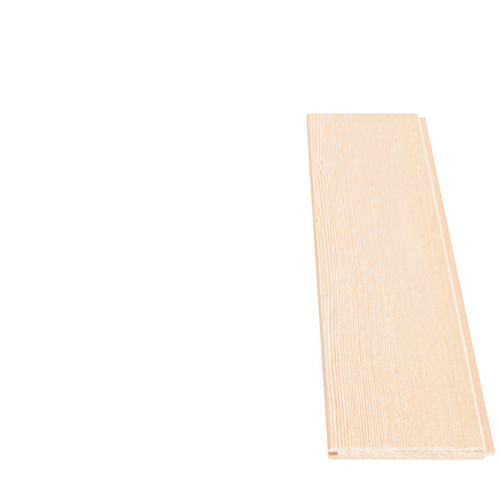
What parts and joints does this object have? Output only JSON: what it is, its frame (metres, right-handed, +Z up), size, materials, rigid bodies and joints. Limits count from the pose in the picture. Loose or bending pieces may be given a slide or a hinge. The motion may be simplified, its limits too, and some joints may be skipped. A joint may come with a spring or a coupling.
{
  "type": "tongue and groove board",
  "caption": "Flat planed softwood board with a tongue along one edge, a groove along the other and a bevelled face edge, for lining walls and ceilings.",
  "frame": {"origin": "middle of the underside of the board's bounding box", "axes": "+Y along the length, +X towards the tongue, +Z up out of the face"},
  "size_m": [0.12, 0.4, 0.014],
  "materials": {
    "planed_softwood": "planed, no coating"
  },
  "bodies": {
    "root": {"board": "planed_softwood"}
  },
  "joints": []
}
